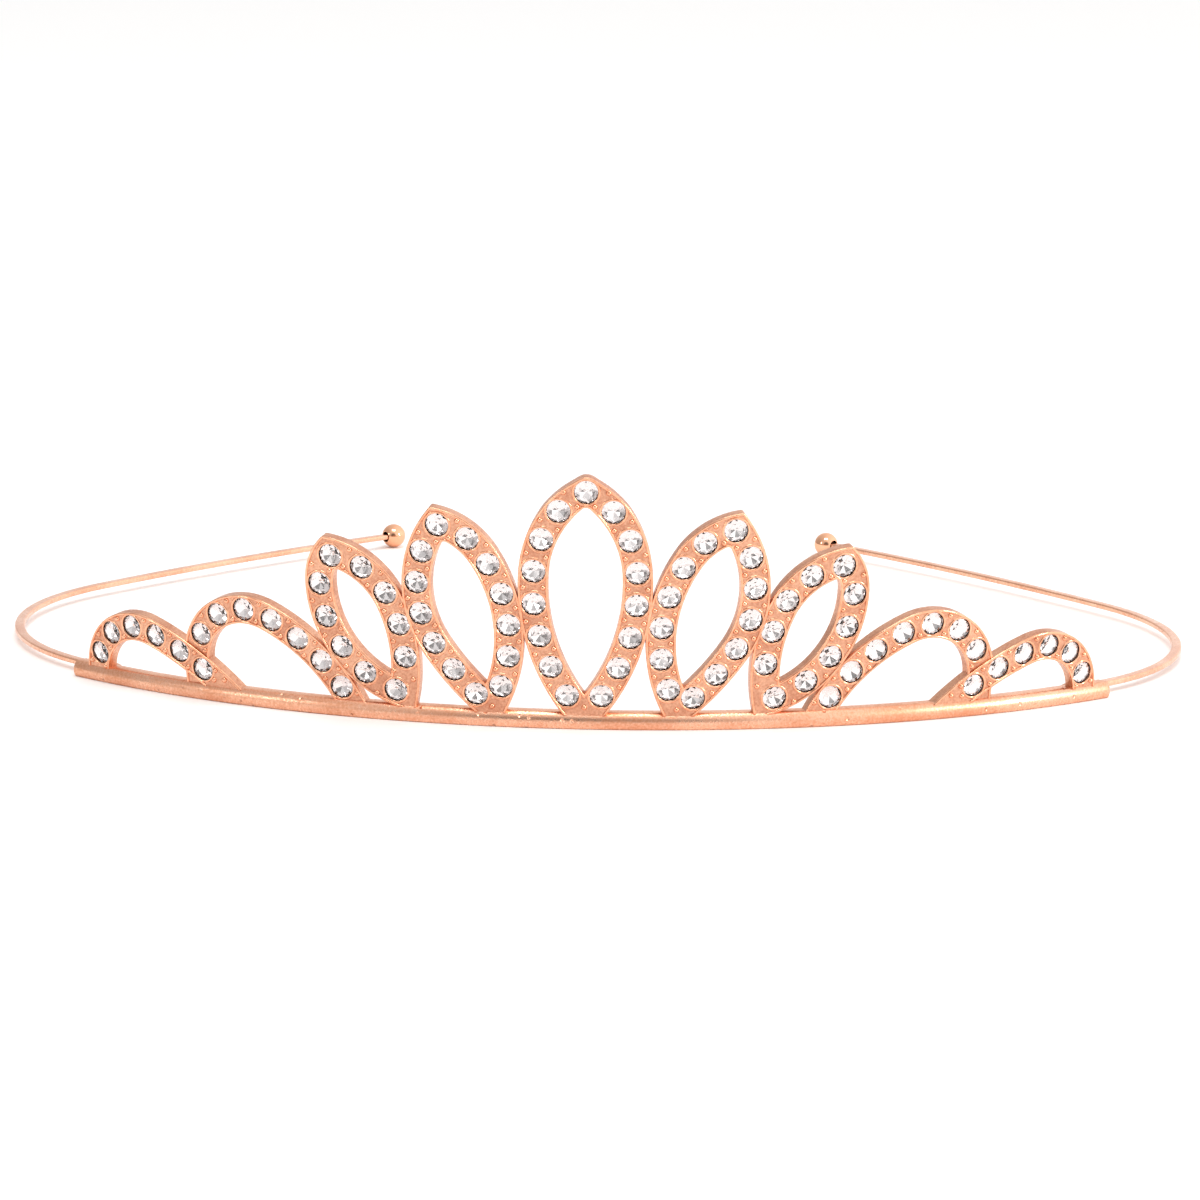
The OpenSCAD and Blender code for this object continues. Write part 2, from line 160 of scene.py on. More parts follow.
def petal_outline(petal, grow):
    """Closed line at a distance from the middle line of a petal's ribbon, with its round point."""
    outer, inner = petal.outer, petal.inner
    outer_r, inner_r = outer.tight + grow, inner.tight + grow
    right_center, left_center = tight_center(outer), flip(tight_center(inner))
    if petal.name == "center" and grow > 0:
        round_center, round_r = (0, NOSE_UP), NOSE_R + grow - HALF
        nose = arc(round_center, round_r, 90 + NOSE_SLOPE, 90 - NOSE_SLOPE, FINE)
        corner = exit_point(nose[-1], -NOSE_SLOPE, right_center, outer_r)
        turn = angle_at(right_center, corner) - SHOULDER_TURN
        outer_top = inner_top = on_circle(right_center, outer_r, turn)
        flank = shoulder((Vector(nose[-1]) + Vector(corner)) / 2, corner, outer_top)[:-1]
        cap = [flip(p) for p in flank[::-1]] + nose + flank
    else:
        round_r = TIP_ROUND + grow - HALF if grow > 0 else HOLE_ROUNDS[petal.name] + grow + HALF
        round_r = max(round_r, LEAST_ROUND)
        round_center = crossing(right_center, outer_r - round_r, left_center, inner_r - round_r, True)
        turn_out, turn_in = angle_at(right_center, round_center), angle_at(left_center, round_center)
        cap = arc(round_center, round_r, turn_in, turn_out, FINE)[1:-1]
        outer_top = on_circle(round_center, round_r, turn_out)
        inner_top = flip(on_circle(round_center, round_r, turn_in))
    low = crossing(leg_center(outer), outer.leg + grow, flip(leg_center(inner)), inner.leg + grow, False)
    if low is None or low[1] < FOOT_UP:
        low = None
    right = side_line(outer, grow, outer_top, low)
    left = [flip(p) for p in side_line(inner, grow, inner_top, None if low is None else flip(low))]
    return right + left[::-1][(0 if low is None else 1):] + cap


def bow_line(bow, grow):
    """Open line at a distance from the middle line of a bow's ribbon, from foot to foot."""
    side = bow.side
    r = side.tight + grow
    below = max(0, FOOT_UP - side.up)
    top = (side.x - math.sqrt(r ** 2 - below ** 2), side.up + below)
    edge = [(top[0], FOOT_UP)] if side.up > FOOT_UP else []
    return [flip(p) for p in edge + side_line(side, grow, top, None)]


def along_side(side, start, length, out=0.0):
    """Point at a length down a side's middle line, from an angle on its tight arc."""
    tight_length = side.tight * math.radians(start - side.join)
    if length < tight_length:
        return on_circle(tight_center(side), side.tight + out, start - math.degrees(length / side.tight))
    return on_circle(leg_center(side), side.leg + out,
                     side.join - math.degrees((length - tight_length) / side.leg))


def petal_points(petal, steps, out=0.0):
    """Points on both sides of a petal, some stone pitches down from its tip stone."""
    length = steps * petal.pitch
    outer = along_side(petal.outer, angle_at(tight_center(petal.outer), petal.tip), length, out)
    inner = along_side(petal.inner, angle_at(tight_center(petal.inner), flip(petal.tip)), length, out)
    return [outer, flip(inner)]


def bow_point(bow, steps, out=0.0):
    return flip(along_side(bow.side, bow.start, steps * bow.pitch, out))


def stone_spots(part):
    if isinstance(part, Bow):
        return [bow_point(part, i) for i in range(part.count)]
    spots = [part.tip] + [p for i in range(part.count) for p in petal_points(part, i + 1)]
    return spots + ([part.foot] if part.foot else [])


def hands(part):
    """A part's signs: the centre petal stands once, every other part on the right and on the left."""
    return (1,) if part.angle == 0 else (1, -1)


def on_crown(angle, x, up, out):
    """Place of a point that is drawn beside a petal's own angle: across, up the slope, out of the face."""
    slope_r = FACE_R + up * math.sin(LEAN)
    turn = math.radians(angle) + math.asin(x / slope_r)
    r = slope_r + out * math.cos(LEAN)
    height = up * math.cos(LEAN) - out * math.sin(LEAN)
    return Vector((r * math.sin(turn), BAR_Y - r * math.cos(turn), height)) * MM


def crown_frame(angle, spot, out):
    """Frame at a spot of the crown's face: X across, Y up the slope, Z out of the face, in millimetres."""
    turn = math.radians(angle) + math.asin(spot[0] / (FACE_R + spot[1] * math.sin(LEAN)))
    across = Vector((math.cos(turn), math.sin(turn), 0))
    normal = Vector((math.sin(turn) * math.cos(LEAN), -math.cos(turn) * math.cos(LEAN), -math.sin(LEAN)))
    axes = Matrix((across, normal.cross(across), normal)).transposed().to_4x4()
    return Matrix.Translation(on_crown(angle, spot[0], spot[1], out)) @ axes @ Matrix.Scale(MM, 4)


def add_plate(target, part, hand, loops, back, face, rounding, cutter=None):
    """Adds a round-edged plate, bent round the crown, to a mesh; an outline inside another is a hole."""
    curve = bpy.data.curves.new("outline", "CURVE")
    curve.dimensions = "2D"
    curve.fill_mode = "BOTH"
    curve.extrude = (face - back) / 2 - rounding
    curve.bevel_depth = rounding
    curve.bevel_resolution = 2
    curve.offset = -rounding
    for loop in loops:
        spline = curve.splines.new("POLY")
        spline.points.add(len(loop) - 1)
        for point, place in zip(spline.points, loop):
            point.co = (place[0], place[1], 0, 1)
        spline.use_cyclic_u = True
    flat = bpy.data.objects.new("outline", curve)
    bpy.context.scene.collection.objects.link(flat)
    mesh = bpy.data.meshes.new_from_object(flat.evaluated_get(bpy.context.evaluated_depsgraph_get()))
    bpy.data.objects.remove(flat)
    middle = (face + back) / 2 - part.drop
    strips = bmesh.new()
    strips.from_mesh(mesh)
    # The flat plate is cut into strips 1 mm wide, so that it can bend.
    across = [v.co.x for v in strips.verts]
    for x in range(math.ceil(min(across)), math.ceil(max(across))):
        bmesh.ops.bisect_plane(strips, geom=strips.verts[:] + strips.edges[:] + strips.faces[:],
                               plane_co=(x, 0, 0), plane_no=(1, 0, 0))
    for vert in strips.verts:
        vert.co = on_crown(hand * part.angle, hand * vert.co.x, vert.co.y, vert.co.z + middle)
    if hand < 0:
        bmesh.ops.reverse_faces(strips, faces=strips.faces)
    strips.to_mesh(mesh)
    strips.free()
    if cutter:
        mesh = cut_mesh(mesh, cutter)
    target.from_mesh(mesh)
    bpy.data.meshes.remove(mesh)


WELD = 0.00002              # vertices nearer than this are one


def clean_mesh(bm):
    bmesh.ops.remove_doubles(bm, verts=bm.verts, dist=WELD * MM)
    bmesh.ops.recalc_face_normals(bm, faces=bm.faces)


def cut_mesh(mesh, cutter):
    """A mesh with another object's solids cut out of it."""
    bm = bmesh.new()
    bm.from_mesh(mesh)
    clean_mesh(bm)
    bm.to_mesh(mesh)
    bm.free()
    body = bpy.data.objects.new("uncut", mesh)
    bpy.context.scene.collection.objects.link(body)
    cut = body.modifiers.new("cut", "BOOLEAN")
    cut.operation, cut.solver, cut.object = "DIFFERENCE", "EXACT", cutter
    result = bpy.data.meshes.new_from_object(body.evaluated_get(bpy.context.evaluated_depsgraph_get()))
    bpy.data.objects.remove(body)
    bpy.data.meshes.remove(mesh)
    return result


def finish_piece(name, bm, material, smooth_angle=35):
    """Turns a mesh in the making into a piece of the headband, riding on its one body."""
    mesh = bpy.data.meshes.new(name)
    bm.to_mesh(mesh)
    bm.free()
    materials = material if isinstance(material, (list, tuple)) else [material]
    for each in materials:
        mesh.materials.append(each)
    mesh.polygons.foreach_set("use_smooth", [smooth_angle > 0] * len(mesh.polygons))
    if smooth_angle > 0:
        mesh.set_sharp_from_angle(angle=math.radians(smooth_angle))
    piece = bpy.data.objects.new(name, mesh)
    bpy.context.scene.collection.objects.link(piece)
    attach(piece, "root")
    return piece


def linear(sheet_hex):
    """An sRGB hex colour as linear RGBA."""
    parts = [int(sheet_hex[i:i + 2], 16) / 255 for i in (1, 3, 5)]
    return [c / 12.92 if c <= 0.04045 else ((c + 0.055) / 1.055) ** 2.4 for c in parts] + [1.0]


def add_node(tree, kind, inputs, **settings):
    """Adds a node with its settings; an input is a value or another node's socket."""
    node = tree.nodes.new(kind)
    for key, value in settings.items():
        setattr(node, key, value)
    for key, value in inputs.items():
        if isinstance(value, bpy.types.NodeSocket):
            tree.links.new(value, node.inputs[key])
        else:
            node.inputs[key].default_value = value
    return node


NICK_DEEP = 0.12
NICK_FLOOR = 0.02           # where a nick's side begins and ends, from its middle, as parts of the spacing
NICK_RIM = 0.16


def plated_metal(name, light, dark, roughness, grain_mm, grain_depth_mm, cloud_mm=4.0, rough_spread=0.1,
                 nick_mm=None):
    """Rose-gold plate on worked metal: fine grain as bump, slow clouds of colour and gloss, and nicks."""
    material = bpy.data.materials.new(name)
    material.use_nodes = True
    tree = material.node_tree
    shader = tree.nodes["Principled BSDF"]
    shader.inputs["Metallic"].default_value = 1.0
    place = add_node(tree, "ShaderNodeTexCoord", {}).outputs["Object"]
    clouds = add_node(tree, "ShaderNodeTexNoise",
                      {"Vector": place, "Scale": 1 / (cloud_mm * MM), "Detail": 3.0, "Roughness": 0.6})
    grain = add_node(tree, "ShaderNodeTexNoise",
                     {"Vector": place, "Scale": 1 / (grain_mm * MM), "Detail": 2.0, "Roughness": 0.55})
    both = add_node(tree, "ShaderNodeMath", {0: clouds.outputs["Fac"], 1: grain.outputs["Fac"]},
                    operation="ADD")
    tone = add_node(tree, "ShaderNodeMapRange",
                    {"Value": both.outputs[0], "From Min": 0.75, "From Max": 1.25})
    color = add_node(tree, "ShaderNodeMix",
                     {"Factor": tone.outputs["Result"], "A": linear(dark), "B": linear(light)},
                     data_type="RGBA")
    gloss = add_node(tree, "ShaderNodeMapRange",
                     {"Value": both.outputs[0], "From Min": 0.7, "From Max": 1.3,
                      "To Min": roughness + rough_spread, "To Max": roughness - rough_spread})
    bump = add_node(tree, "ShaderNodeBump",
                    {"Height": grain.outputs["Fac"], "Strength": 1.0, "Distance": grain_depth_mm * MM})
    if nick_mm:
        cells = add_node(tree, "ShaderNodeTexVoronoi", {"Vector": place, "Scale": 1 / (nick_mm * MM)})
        nicks = add_node(tree, "ShaderNodeMapRange",
                         {"Value": cells.outputs["Distance"], "From Min": NICK_FLOOR, "From Max": NICK_RIM})
        bump = add_node(tree, "ShaderNodeBump",
                        {"Height": nicks.outputs["Result"], "Strength": 1.0, "Distance": NICK_DEEP * MM,
                         "Normal": bump.outputs["Normal"]})
    tree.links.new(color.outputs["Result"], shader.inputs["Base Color"])
    tree.links.new(gloss.outputs["Result"], shader.inputs["Roughness"])
    tree.links.new(bump.outputs["Normal"], shader.inputs["Normal"])
    return material


# Satin: barrelled and then plated, so it keeps a fine sandy grain that softens every reflection.
satin_plate = plated_metal("satin_rose_gold_plate", "#e4ae8f", "#c4866a",
                           roughness=0.36, grain_mm=0.24, grain_depth_mm=0.024)
# Rubbed: the rims and pips meet the barrel's stones first, so they come out glossier and glint. The lighter
# colour of this plate is a painted highlight on the rims, lips and pips.
rubbed_highlight_plate = plated_metal("rubbed_painted_highlight_rose_gold_plate", "#fabd9a", "#e6a27e",
                            roughness=0.12, grain_mm=0.5, grain_depth_mm=0.004, rough_spread=0.05)


def seat_drills(parts):
    """Cutter for the seats of some parts, or None where there are no parts."""
    if not parts:
        return None
    drills = bmesh.new()
    for part in parts:
        for hand in hands(part):
            for x, up in stone_spots(part):
                bmesh.ops.create_cone(drills, cap_ends=True, segments=SEAT_SIDES, radius1=SEAT_R,
                                      radius2=SEAT_R, depth=2 * SEAT_DEEP,
                                      matrix=crown_frame(hand * part.angle, (hand * x, up), -part.drop))
    mesh = bpy.data.meshes.new("seat_drills")
    drills.to_mesh(mesh)
    drills.free()
    cutter = bpy.data.objects.new("seat_drills", mesh)
    bpy.context.scene.collection.objects.link(cutter)
    return cutter


every_seat = seat_drills(PETALS + BOWS)
plates = bmesh.new()
for part in PETALS + BOWS:
    if isinstance(part, Bow):
        ribbon = [bow_line(part, HALF) + bow_line(part, -HALF)[::-1]]
    else:
        ribbon = [petal_outline(part, HALF), petal_outline(part, -HALF)]
    for hand in hands(part):
        add_plate(plates, part, hand, ribbon, -PLATE, 0, EDGE_ROUND, every_seat)
bpy.data.objects.remove(every_seat)
crown_plates = finish_piece("crown_petals", plates, satin_plate)
crown_plates.modifiers.new("flat_faces", "WEIGHTED_NORMAL").keep_sharp = True
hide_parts("crown_band")

# Rims, seat lips and pips
# Cast with the crown: a low rounded rim along every edge of the ribbons, a thin lip that holds each stone,
# and two small pips in each gap between stones. These are worn glossier than the sunken face and painted
# lighter as a highlight.
RIM_W = 0.28
RIM_H = 0.14
RIM_SUNK = 0.3
RIM_ROUND = 0.38 * RIM_W
RIM_FOOT = 1.6              # height where the rims end on the bar
LIP_R = 1.4
LIP_W = 0.26
LIP_H = 0.08
PIP_R = 0.32
PIP_OUT = 1.06              # from a ribbon's middle line to its pips
PIP_SUNK = 0.06

rims = bmesh.new()
for part in PETALS + BOWS:
    if isinstance(part, Bow):
        strips = [[bow_line(part, a) + bow_line(part, b)[::-1]]
                  for a, b in ((HALF, HALF - RIM_W), (RIM_W - HALF, -HALF))]
    else:
        strips = [[petal_outline(part, a), petal_outline(part, b)]
                  for a, b in ((HALF, HALF - RIM_W), (RIM_W - HALF, -HALF))]
    lapping_seats = seat_drills([over for over in PETALS + BOWS if over.drop < part.drop])
    for hand in hands(part):
        for strip in strips:
            add_plate(rims, part, hand, strip, -RIM_SUNK, RIM_H, RIM_ROUND, lapping_seats)
    if lapping_seats:
        bpy.data.objects.remove(lapping_seats)
clean_mesh(rims)
trimmed = bmesh.ops.bisect_plane(rims, geom=rims.verts[:] + rims.edges[:] + rims.faces[:],
                                 plane_co=Vector((0, 0, RIM_FOOT)) * MM, plane_no=(0, 0, 1),
                                 clear_inner=True)
bmesh.ops.holes_fill(rims, edges=[g for g in trimmed["geom_cut"] if isinstance(g, bmesh.types.BMEdge)])
bmesh.ops.recalc_face_normals(rims, faces=rims.faces)
finish_piece("ribbon_rims", rims, rubbed_highlight_plate, smooth_angle=60)

lips = bmesh.new()
lip = bmesh.new()
lip_section = bmesh.ops.create_circle(lip, segments=8, radius=1.0)["verts"]
bmesh.ops.rotate(lip, verts=lip_section, cent=(0, 0, 0), matrix=Matrix.Rotation(math.pi / 2, 3, "X"))
bmesh.ops.scale(lip, verts=lip_section, vec=(LIP_W / 2, 1, LIP_H))
bmesh.ops.translate(lip, verts=lip_section, vec=(LIP_R, 0, 0))
bmesh.ops.spin(lip, geom=lip.edges[:], cent=(0, 0, 0), axis=(0, 0, 1), angle=math.tau, steps=36,
               use_merge=True)
bmesh.ops.recalc_face_normals(lip, faces=lip.faces)
lip_mesh = bpy.data.meshes.new("lip")
lip.to_mesh(lip_mesh)
lip.free()


def add_copies(target, mesh, places):
    for place in places:
        copy = mesh.copy()
        copy.transform(place)
        target.from_mesh(copy)
        bpy.data.meshes.remove(copy)


for part in PETALS + BOWS:
    for hand in hands(part):
        places = [crown_frame(hand * part.angle, (hand * x, up), -part.drop) for x, up in stone_spots(part)]
        add_copies(lips, lip_mesh, places)
finish_piece("seat_lips", lips, rubbed_highlight_plate, smooth_angle=60)


def pip_spots(part):
    if isinstance(part, Bow):
        steps = [part.first_pips] + [i + 0.5 for i in range(part.count - 1)]
        spots = [bow_point(part, i, out) for i in steps for out in (-PIP_OUT, PIP_OUT)]
    else:
        spots = [p for i in range(part.count) for out in (-PIP_OUT, PIP_OUT)
                 for p in petal_points(part, i + 0.5, out)]
    return spots + part.foot_pips


def covered(place, part):
    """Whether a ribbon that laps over a part hides a place on it."""
    for over in PETALS + BOWS:
        middle = bow_line(over, 0) if isinstance(over, Bow) else petal_outline(over, 0)
        for hand in hands(over) if over.drop < part.drop else ():
            if any((on_crown(hand * over.angle, hand * x, up, -over.drop) - place).length < HALF * MM
                   for x, up in middle):
                return True
    return False


pip = bmesh.new()
bmesh.ops.create_icosphere(pip, subdivisions=2, radius=PIP_R)
pip_mesh = bpy.data.meshes.new("pip")
pip.to_mesh(pip_mesh)
pip.free()
pips = bmesh.new()
for part in PETALS + BOWS:
    for hand in hands(part):
        places = [crown_frame(hand * part.angle, (hand * x, up), -part.drop - PIP_SUNK)
                  for x, up in pip_spots(part)]
        add_copies(pips, pip_mesh, [place for place in places if not covered(place.translation, part)])
finish_piece("ribbon_pips", pips, rubbed_highlight_plate, smooth_angle=60)

# Bar
# Cast in one with the crown: a half-round bar with a flat underside and a flat back, sanded before plating,
# so its front keeps a coarser sandy grain. The stub of the casting's gate is left behind its middle.
BAR_REACH = 39.8            # degrees from the middle to each end
BAR_H = 1.8
BAR_FRONT = 0.45
BAR_ROUND_R = 1.3
BAR_ROUND_UP = 0.75
CRISP = 0.06                # rounds of the bar's lower edges, its top edge, its ends and the gate's stub
SOFT = 0.2
BAR_END_ROUND = 0.14
GATE_ROUND = 0.18
CRISP_STEP = 0.05           # longest steps along the bar's rounds and its front
SOFT_STEP = 0.1
FRONT_STEP = 0.12
GATE_W = 3.2
GATE_DEEP = 0.8
GATE_LOW = 0.1
GATE_HIGH = 1.3


def about_bar(r, up, angle):
    a = math.radians(angle - 90)
    return Vector((r * math.cos(a), BAR_Y + r * math.sin(a), up)) * MM


bar_middle = (FACE_R + BAR_FRONT - BAR_ROUND_R, BAR_ROUND_UP)
low_turn = math.degrees(math.asin((CRISP - BAR_ROUND_UP) / BAR_ROUND_R))
high_turn = math.degrees(math.asin((BAR_H - BAR_ROUND_UP) / BAR_ROUND_R))
back_r = FACE_R - BAR_BACK
front_line = arc(bar_middle, BAR_ROUND_R, low_turn, high_turn, FRONT_STEP)
bar_section = ([(front_line[0][0] - CRISP, 0)] + front_line
               + arc((back_r + SOFT, BAR_H - SOFT), SOFT, 90, 180, SOFT_STEP)
               + arc((back_r + CRISP, CRISP), CRISP, 180, 270, CRISP_STEP))
bar = bmesh.new()
end_face = bar.faces.new([bar.verts.new(about_bar(r, up, -BAR_REACH)) for r, up in bar_section])
swept = bmesh.ops.spin(bar, geom=[end_face], cent=Vector((0, BAR_Y, 0)) * MM, axis=(0, 0, 1),
                       angle=math.radians(2 * BAR_REACH), steps=220)
bmesh.ops.recalc_face_normals(bar, faces=bar.faces)
last_face = [g for g in swept["geom_last"] if isinstance(g, bmesh.types.BMFace)]
bmesh.ops.bevel(bar, geom=list(end_face.edges) + [e for f in last_face for e in f.edges],
                offset=BAR_END_ROUND * MM, segments=3, profile=0.5, affect="EDGES", material=-1)
# Sanded: a haze with a visible grain and slow clouds, and a few nicks that glint.
sanded_plate = plated_metal("sanded_rose_gold_plate", "#f6c1a3", "#dc9a77", roughness=0.32, grain_mm=0.24,
                            grain_depth_mm=0.016, cloud_mm=9.0, nick_mm=1.5)
finish_piece("bar", bar, sanded_plate, smooth_angle=40)

gate = bmesh.new()
bmesh.ops.create_cube(gate, size=1.0)
bmesh.ops.scale(gate, verts=gate.verts, vec=Vector((GATE_W, 2 * GATE_DEEP, GATE_HIGH - GATE_LOW)) * MM)
bmesh.ops.translate(gate, verts=gate.verts,
                    vec=Vector((0, BAR_Y - back_r, (GATE_HIGH + GATE_LOW) / 2)) * MM)
bmesh.ops.bevel(gate, geom=gate.edges[:], offset=GATE_ROUND * MM, segments=3, profile=0.5, affect="EDGES",
                material=-1)
finish_piece("gate_stub", gate, satin_plate, smooth_angle=60)

# Arms
# Flat steel wire with rounded corners, bent to the head and plated with the crown. Each arm's end lies
# behind the bar's end in a lump of solder, and the arm rises a little towards its ball.
WIRE_H = 0.65
WIRE_CORNER = 0.2
WIRE_STEP = 0.08            # longest step round its corners
WIRE_UP = 1.0
WIRE_START = 36.4           # angle of its end behind the bar
SIDE_END = 36.6             # angle where the bend at the side ends and a long, slow arc begins
ARM_R = 275.0
ARM_TURN = 10.4
BALL_R = 1.55
SOLDER_ANGLE = 37.6         # it covers the wire's end
SOLDER_IN = 0.25            # from the wire's middle line towards the bar
SOLDER_SIZE = (4.8, 1.9, 1.7)
SOLDER_LUMPS = 0.02         # part of its radius
LUMP_SEED = 5

side_x = (WIRE_R - SIDE_BEND_R) * math.sin(math.radians(LEAVE))
arm_middle = on_circle((side_x, 0), SIDE_BEND_R - ARM_R, SIDE_END)
arm_end = SIDE_END + ARM_TURN
ball_place = on_circle(arm_middle, ARM_R, arm_end)
leave_y = BAR_Y - WIRE_R * math.cos(math.radians(LEAVE))
tilt = math.asin((BALL_R - WIRE_UP) / (ball_place[1] - leave_y))
hinge = Vector((0, leave_y, WIRE_UP)) * MM
arm_arcs = (                # middle, turn and steps of each
    ((0, BAR_Y), LEAVE - WIRE_START, 8),
    ((side_x, 0), SIDE_END + 90 - LEAVE, 110),
    (arm_middle, ARM_TURN, 50),
)


def wire_section():
    x, z, c = WIRE_W / 2 - WIRE_CORNER, WIRE_H / 2 - WIRE_CORNER, WIRE_CORNER
    corners = ((x, -z, -90), (x, z, 0), (-x, z, 90), (-x, -z, 180))
    return [p for cx, cz, start in corners for p in arc((cx, cz), c, start, start + 90, WIRE_STEP)]


def mirrored(bm):
    bmesh.ops.scale(bm, verts=bm.verts, vec=(-1, 1, 1))
    bmesh.ops.reverse_faces(bm, faces=bm.faces)


# Drawn: pulled through a die before plating, so it is smooth and its reflections are only a little soft.
drawn_plate = plated_metal("drawn_wire_rose_gold", "#f8c4a6", "#e4a686",
                           roughness=0.24, grain_mm=0.35, grain_depth_mm=0.006, cloud_mm=6.0)
for name, hand in (("right", 1), ("left", -1)):
    arm = bmesh.new()
    start = math.radians(WIRE_START - 90)
    ring = [arm.verts.new(Vector(((WIRE_R + out) * math.cos(start), BAR_Y + (WIRE_R + out) * math.sin(start),
                                  WIRE_UP + up)) * MM) for out, up in wire_section()]
    tail = [arm.faces.new(ring)]
    for middle, turn, steps in arm_arcs:
        spun = bmesh.ops.spin(arm, geom=tail, cent=Vector((*middle, 0)) * MM, axis=(0, 0, 1),
                              angle=math.radians(turn), steps=steps)
        tail = [g for g in spun["geom_last"] if isinstance(g, bmesh.types.BMFace)]
    bmesh.ops.rotate(arm, verts=arm.verts, cent=hinge, matrix=Matrix.Rotation(tilt, 3, "X"))
    bmesh.ops.recalc_face_normals(arm, faces=arm.faces)
    if hand < 0:
        mirrored(arm)
    finish_piece("arm_" + name, arm, drawn_plate, smooth_angle=40)

    solder = bmesh.new()
    bmesh.ops.create_uvsphere(solder, u_segments=32, v_segments=16, radius=1.0)
    bmesh.ops.scale(solder, verts=solder.verts, vec=Vector(SOLDER_SIZE) / 2 * MM)
    lumps = random.Random(LUMP_SEED)
    for vert in solder.verts:
        vert.co *= 1 + lumps.uniform(-SOLDER_LUMPS, SOLDER_LUMPS)
    bmesh.ops.rotate(solder, verts=solder.verts, cent=(0, 0, 0),
                     matrix=Matrix.Rotation(math.radians(SOLDER_ANGLE), 3, "Z"))
    bmesh.ops.translate(solder, verts=solder.verts, vec=about_bar(WIRE_R + SOLDER_IN, WIRE_UP, SOLDER_ANGLE))
    if hand < 0:
        mirrored(solder)
    finish_piece("solder_" + name, solder, satin_plate, smooth_angle=60)

# Ball tips
# Drilled brass balls pressed on the arms' ends and polished bright, so that they don't scratch.
BORE_R = 0.68
BORE_DEEP = 0.1             # past the ball's middle
MOUTH_EDGE = 0.05           # width and turn of the round at the bore's mouth
MOUTH_TURN = 2.5
BALL_STEP = 0.08            # longest step along its section

# Polished: nearly a mirror, so it shows the white room and the dark place in front.
ball_plate = plated_metal("polished_rose_gold_ball", "#f7bc98", "#edac86", roughness=0.09, grain_mm=1.2,
                          grain_depth_mm=0.001, cloud_mm=5.0, rough_spread=0.03)
mouth = math.degrees(math.acos(BORE_R / BALL_R))
ball_line = ([(BORE_R, -BORE_DEEP), (BORE_R, BALL_R * math.sin(math.radians(mouth)) - MOUTH_EDGE)]
             + arc((0, 0), BALL_R, mouth - MOUTH_TURN, -90, BALL_STEP))
for name, hand in (("right", 1), ("left", -1)):
    ball = bmesh.new()
    line = [ball.verts.new(Vector((r, 0, up)) * MM) for r, up in [(0, -BORE_DEEP)] + ball_line]
    edges = [ball.edges.new(pair) for pair in zip(line, line[1:])]
    bmesh.ops.spin(ball, geom=edges, cent=(0, 0, 0), axis=(0, 0, 1), angle=math.tau, steps=64,
                   use_merge=True)
    clean_mesh(ball)
    back_along = Vector((math.sin(math.radians(arm_end)), -math.cos(math.radians(arm_end)), 0))
    bmesh.ops.rotate(ball, verts=ball.verts, cent=(0, 0, 0),
                     matrix=back_along.to_track_quat("Z", "Y").to_matrix())
    bmesh.ops.translate(ball, verts=ball.verts, vec=Vector((*ball_place, WIRE_UP)) * MM)
    bmesh.ops.rotate(ball, verts=ball.verts, cent=hinge, matrix=Matrix.Rotation(tilt, 3, "X"))
    if hand < 0:
        mirrored(ball)
    tip = finish_piece("polished_ball_" + name, ball, ball_plate, smooth_angle=40)
    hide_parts("ball_tip_" + name)

# Stones
# Round machine-cut glass chatons, 2.5 mm across, with silver foil on their points. They are glued in the
# seats, each turned as it fell, so every stone flashes differently.
STONE_R = 1.25
TABLE_R = 0.56 * STONE_R
CROWN_H = 0.3
GIRDLE_H = 0.05
POINT_H = 0.42
BOW_POINT_H = 0.33          # flatter, as the bows turn away from the eye and would trap the light
MAINS = 8
HALF_MAIN = 180 / MAINS     # half of a main facet's turn
STAR_REACH = 0.55           # of the star facets across the crown
LOWER_REACH = 0.7           # radius where the lower facets end, as a part of the stone's
GIRDLE_DROP = 0.2           # from the ribbon's face down to the girdle
FOIL_CLOUD = 0.9
TURN_SEED = 11

# Machine-cut crystal glass: colourless, and heavy enough to flash at every facet.
clear_glass = bpy.data.materials.new("cut_clear_glass")
clear_glass.use_nodes = True
glass = clear_glass.node_tree.nodes["Principled BSDF"]
glass.inputs["Base Color"].default_value = linear("#ffffff")
glass.inputs["Roughness"].default_value = 0.0
glass.inputs["IOR"].default_value = 1.56
glass.inputs["Transmission Weight"].default_value = 1.0

# Vacuum-silvered foil under a lacquer coat: a mirror with a faint warm cloud.
silver_foil = bpy.data.materials.new("silver_foil")
silver_foil.use_nodes = True
foil_tree = silver_foil.node_tree
foil = foil_tree.nodes["Principled BSDF"]
foil.inputs["Metallic"].default_value = 1.0
foil.inputs["Roughness"].default_value = 0.03
foil_place = add_node(foil_tree, "ShaderNodeTexCoord", {}).outputs["Object"]
foil_cloud = add_node(foil_tree, "ShaderNodeTexNoise",
                      {"Vector": foil_place, "Scale": 1 / (FOIL_CLOUD * MM)})
foil_color = add_node(foil_tree, "ShaderNodeMix",
                      {"Factor": foil_cloud.outputs["Fac"], "A": linear("#f1eae9"), "B": linear("#fdf8f7")},
                      data_type="RGBA")
foil_tree.links.new(foil_color.outputs["Result"], foil.inputs["Base Color"])


def facet_ring(bm, count, r, up, turn):
    place = Matrix.Translation((0, 0, up)) @ Matrix.Rotation(math.radians(turn), 4, "Z")
    bmesh.ops.create_circle(bm, segments=count, radius=r, matrix=place)


star_r = TABLE_R + (STONE_R - TABLE_R) * STAR_REACH
half_main = math.cos(math.radians(HALF_MAIN))
star_up = CROWN_H * (STONE_R - star_r * half_main) / (STONE_R - TABLE_R)
lower_r = STONE_R * LOWER_REACH


